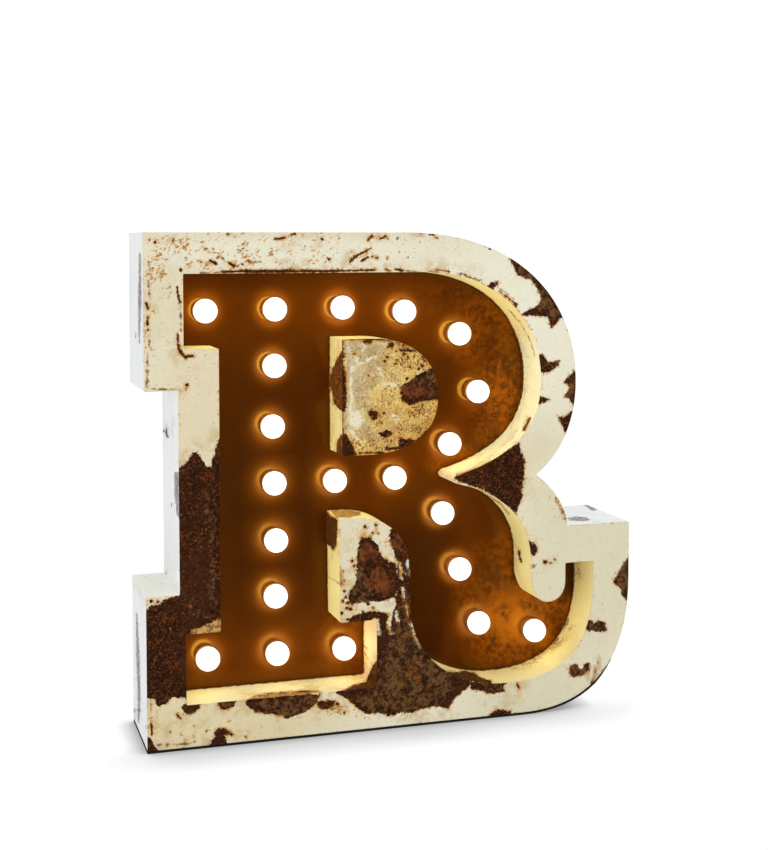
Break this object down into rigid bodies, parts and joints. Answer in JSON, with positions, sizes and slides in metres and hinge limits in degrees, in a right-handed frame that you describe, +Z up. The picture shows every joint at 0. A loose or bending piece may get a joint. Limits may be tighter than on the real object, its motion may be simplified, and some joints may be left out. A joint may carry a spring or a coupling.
{
  "type": "light-up letter",
  "caption": "Slab-serif capital letter lamp in worn cream sheet steel: a deep shell with a recessed brown channel of glowing globe bulbs, rocker switch and power inlet on the back.",
  "frame": {"origin": "under the middle of the base, on the surface the letter stands on", "axes": "+Z up, the letter's face looks along -Y, +X to the reader's right"},
  "size_m": [0.36, 0.072, 0.354],
  "materials": {
    "cream_paint": "worn cream paint over rusted sheet steel, chipped at edges",
    "lamp_brown": "semi-gloss brown lacquer, rust-mottled",
    "zinc_steel": "zinc plated",
    "socket_brown": "moulded phenolic",
    "opal_glass": "opal, lit from within",
    "brass": "bright",
    "led_phosphor": "phosphor coated",
    "wire_red": "PVC insulation",
    "wire_black": "PVC insulation",
    "case_black": "fine texture",
    "board_green": "solder mask",
    "board_parts": "moulded",
    "switch_black": "fine texture",
    "rocker_black": "satin",
    "cover_paint": "cream paint, lightly aged",
    "strip_rubber": "matt"
  },
  "bodies": {
    "letter": {"face_rim": "cream_paint", "outer_return": "cream_paint", "channel_return": "cream_paint", "counter_face": "cream_paint", "counter_return": "cream_paint", "lamp_plate": "lamp_brown", "plate_brackets": "zinc_steel", "plate_screws": "zinc_steel", "lamp_sockets": "socket_brown", "socket_nuts": "socket_brown", "bulb_globes": "opal_glass", "bulb_caps": "brass", "led_discs": "led_phosphor", "socket_contacts": "brass", "supply_wire": "wire_red", "return_wire": "wire_black", "driver_case": "case_black", "driver_board": "board_green", "driver_parts": "board_parts", "driver_lid": "case_black", "driver_lid_screws": "zinc_steel", "driver_mount_screws": "zinc_steel", "power_leads": "wire_black", "inlet_jack": "switch_black", "inlet_pin": "brass", "inlet_nut": "zinc_steel", "switch_housing": "switch_black", "switch_terminals": "brass", "back_cover": "cover_paint", "cover_brackets": "zinc_steel", "cover_screws": "zinc_steel", "base_strip": "strip_rubber"},
    "rocker": {"switch_rocker": "rocker_black"}
  },
  "joints": [
    {"name": "switch_rocker_tilt", "type": "hinge", "parent": "letter", "child": "rocker", "pos_m": [-0.074, 0.029, 0.029], "axis": [1, 0, 0], "range_deg": [0, 24]}
  ]
}
